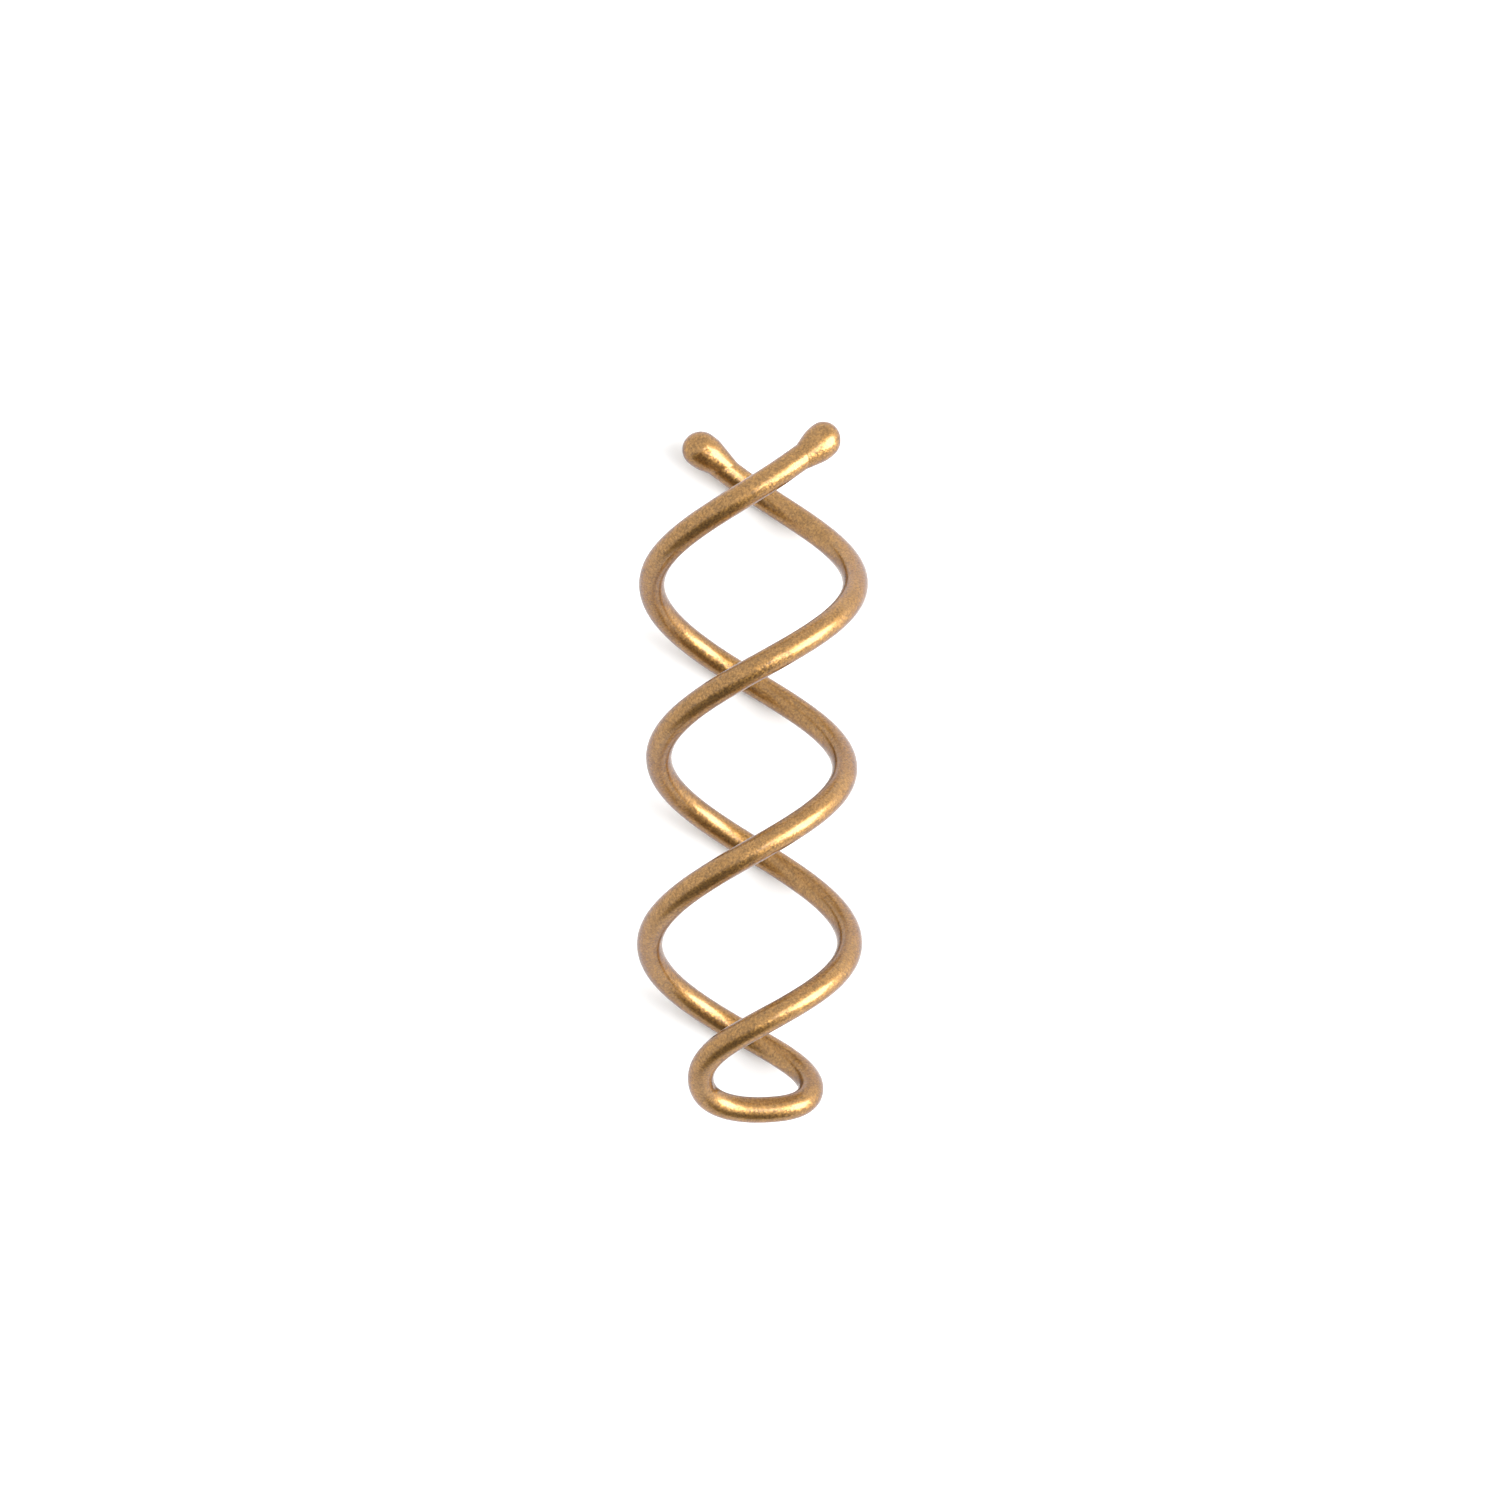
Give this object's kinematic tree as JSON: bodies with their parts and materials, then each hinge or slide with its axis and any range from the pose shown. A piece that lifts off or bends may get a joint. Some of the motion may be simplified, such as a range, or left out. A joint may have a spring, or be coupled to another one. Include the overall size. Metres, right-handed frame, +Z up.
{
  "type": "spiral bun pin",
  "caption": "Wire hairpin bent double and twisted into an open double spiral, with a dipped ball on each end, for screwing into a bun.",
  "frame": {"origin": "under the middle of the outline, on the surface that the pin lies on", "axes": "+X across the pin, +Y along it from the closed bend towards the ball tips, +Z up from the surface it lies on"},
  "size_m": [0.0232, 0.0699, 0.0222],
  "materials": {
    "bronze_coat": "satin bronze metallic coat with a fine grain"
  },
  "bodies": {
    "root": {"twisted_wire": "bronze_coat", "left_ball_tip": "bronze_coat", "right_ball_tip": "bronze_coat"}
  },
  "joints": []
}
